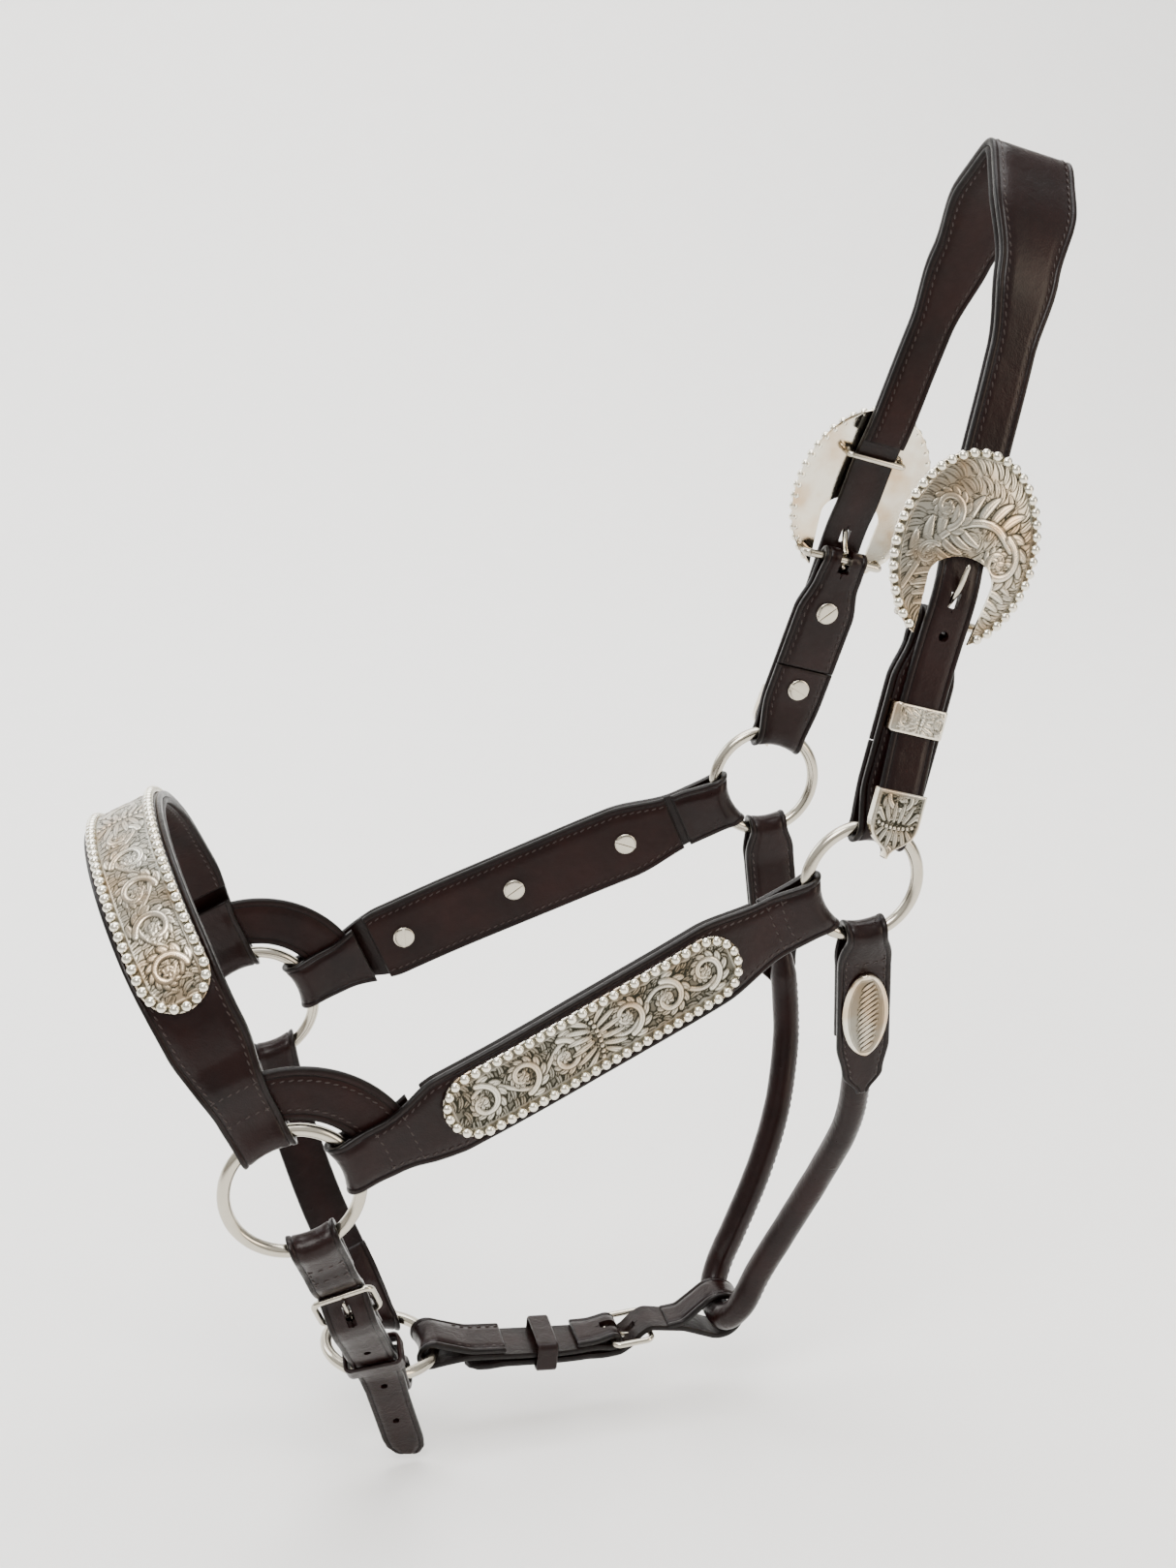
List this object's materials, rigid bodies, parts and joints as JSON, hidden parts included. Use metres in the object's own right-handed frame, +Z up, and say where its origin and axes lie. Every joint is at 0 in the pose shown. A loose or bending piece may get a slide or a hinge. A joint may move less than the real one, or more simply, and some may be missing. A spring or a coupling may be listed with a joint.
{
  "type": "show halter",
  "caption": "Western leather show halter with metal rings, beaded engraved silver plates and oval crown buckles, and buckled chin, gullet and rolled throat straps.",
  "frame": {"origin": "bridge of the nose, on the lining's underside at the middle of the noseband", "axes": "+Z up; the horse looks along -X; its left side is -Y"},
  "size_m": [0.383, 0.174, 0.5303],
  "materials": {
    "leather": "dark oiled bridle leather",
    "lining": "dark red-brown lining leather",
    "engraved_silver": "engraved nickel silver",
    "nickel_wire": "polished nickel plate"
  },
  "bodies": {
    "halter": {"noseband_strap": "leather", "noseband_lining": "lining", "nose_plate": "engraved_silver", "nose_screw_left": "nickel_wire", "nose_screw_right": "nickel_wire", "ring_guard_left": "leather", "ring_guard_right": "leather", "cheek_strap_left": "leather", "cheek_lining_left": "lining", "cheek_plate_left": "engraved_silver", "cheek_screw_left_1": "nickel_wire", "cheek_screw_left_2": "nickel_wire", "cheek_screw_left_3": "nickel_wire", "cheek_strap_right": "leather", "cheek_lining_right": "lining", "cheek_plate_right": "engraved_silver", "cheek_screw_right_1": "nickel_wire", "cheek_screw_right_2": "nickel_wire", "cheek_screw_right_3": "nickel_wire"},
    "nose_ring_left": {"nose_ring_left": "nickel_wire"},
    "cheek_ring_left": {"cheek_ring_left": "nickel_wire"},
    "nose_ring_right": {"nose_ring_right": "nickel_wire"},
    "cheek_ring_right": {"cheek_ring_right": "nickel_wire"},
    "crown": {"crown_strap": "leather", "crown_lining": "lining", "crown_hanger_left": "leather", "hanger_screw_left_1": "nickel_wire", "hanger_screw_left_2": "nickel_wire", "crown_buckle_left": "engraved_silver", "crown_keeper_left": "engraved_silver", "crown_tip_left": "engraved_silver", "crown_hanger_right": "leather", "hanger_screw_right_1": "nickel_wire", "hanger_screw_right_2": "nickel_wire", "crown_buckle_right": "engraved_silver", "crown_keeper_right": "engraved_silver", "crown_tip_right": "engraved_silver"},
    "crown_tongue_left": {"crown_tongue_left": "nickel_wire"},
    "crown_tongue_right": {"crown_tongue_right": "nickel_wire"},
    "chin": {"chin_strap_right": "leather", "chin_chape_left": "leather", "chin_buckle_left": "nickel_wire", "chin_billet_left": "leather"},
    "chin_ring": {"chin_ring": "nickel_wire"},
    "chin_tongue": {"chin_tongue_left": "nickel_wire"},
    "chin_keeper": {"chin_keeper_left": "leather"},
    "gullet": {"gullet_chape": "leather", "gullet_buckle": "nickel_wire", "gullet_billet": "leather"},
    "gullet_tongue": {"gullet_tongue": "nickel_wire"},
    "gullet_keeper": {"gullet_keeper": "leather"},
    "throat": {"throat_roll": "leather", "throat_tab_left": "leather", "throat_tab_right": "leather", "throat_oval_left": "engraved_silver", "throat_oval_right": "engraved_silver"}
  },
  "joints": [
    {"name": "nose_ring_left_turn", "type": "hinge", "parent": "halter", "child": "nose_ring_left", "pos_m": [0.0485, -0.081, -0.113], "axis": [0, 1, 0], "continuous": true},
    {"name": "cheek_ring_left_turn", "type": "hinge", "parent": "halter", "child": "cheek_ring_left", "pos_m": [0.272, -0.0605, -0.02], "axis": [0, 1, 0], "continuous": true},
    {"name": "nose_ring_right_turn", "type": "hinge", "parent": "halter", "child": "nose_ring_right", "pos_m": [0.0485, 0.081, -0.113], "axis": [0, 1, 0], "continuous": true},
    {"name": "cheek_ring_right_turn", "type": "hinge", "parent": "halter", "child": "cheek_ring_right", "pos_m": [0.272, 0.0605, -0.02], "axis": [0, 1, 0], "continuous": true},
    {"name": "crown_swing", "type": "hinge", "parent": "halter", "child": "crown", "pos_m": [0.272, 0, -0.02], "axis": [0, 1, 0], "range_deg": [-50, 60]},
    {"name": "crown_tongue_left_turn", "type": "hinge", "parent": "crown", "child": "crown_tongue_left", "pos_m": [0.30088, -0.05063, 0.07876], "axis": [0.9598, 0, -0.2807], "range_deg": [0, 12]},
    {"name": "crown_tongue_right_turn", "type": "hinge", "parent": "crown", "child": "crown_tongue_right", "pos_m": [0.30088, 0.05063, 0.07876], "axis": [-0.9598, 0, 0.2807], "range_deg": [0, 12]},
    {"name": "chin_swing", "type": "hinge", "parent": "halter", "child": "chin", "pos_m": [0.0485, 0, -0.113], "axis": [0, 1, 0], "range_deg": [-8, 8]},
    {"name": "gullet_swing", "type": "hinge", "parent": "chin", "child": "gullet", "pos_m": [0.11028, 0, -0.2422], "axis": [0, 1, 0], "range_deg": [-13.5, 13.5]},
    {"name": "throat_swing", "type": "hinge", "parent": "halter", "child": "throat", "pos_m": [0.272, 0, -0.02], "axis": [0, 1, 0], "range_deg": [-4.7, 4.7]},
    {"name": "chin_ring_turn", "type": "hinge", "parent": "chin", "child": "chin_ring", "pos_m": [0.0875, 0, -0.239], "axis": [0.1392, 0, 0.9903], "continuous": true},
    {"name": "chin_tongue_turn", "type": "hinge", "parent": "chin", "child": "chin_tongue", "pos_m": [0.07022, -0.05958, -0.18316], "axis": [0.9641, -0.0804, 0.2529], "range_deg": [0, 15]},
    {"name": "chin_keeper_slide", "type": "slide", "parent": "chin", "child": "chin_keeper", "axis": [-0.2431, -0.5692, 0.7854], "range_m": [-0.003, 0.006]},
    {"name": "gullet_tongue_turn", "type": "hinge", "parent": "gullet", "child": "gullet_tongue", "pos_m": [0.18793, 0, -0.24841], "axis": [0, 1, 0], "range_deg": [0, 15]},
    {"name": "gullet_keeper_slide", "type": "slide", "parent": "gullet", "child": "gullet_keeper", "axis": [0.996, 0, -0.0895], "range_m": [-0.006, 0.006]}
  ],
  "couplings": [
    {"joint": "gullet_swing", "follows": "chin_swing", "ratio": -1.6473},
    {"joint": "throat_swing", "follows": "chin_swing", "ratio": 0.5716}
  ]
}
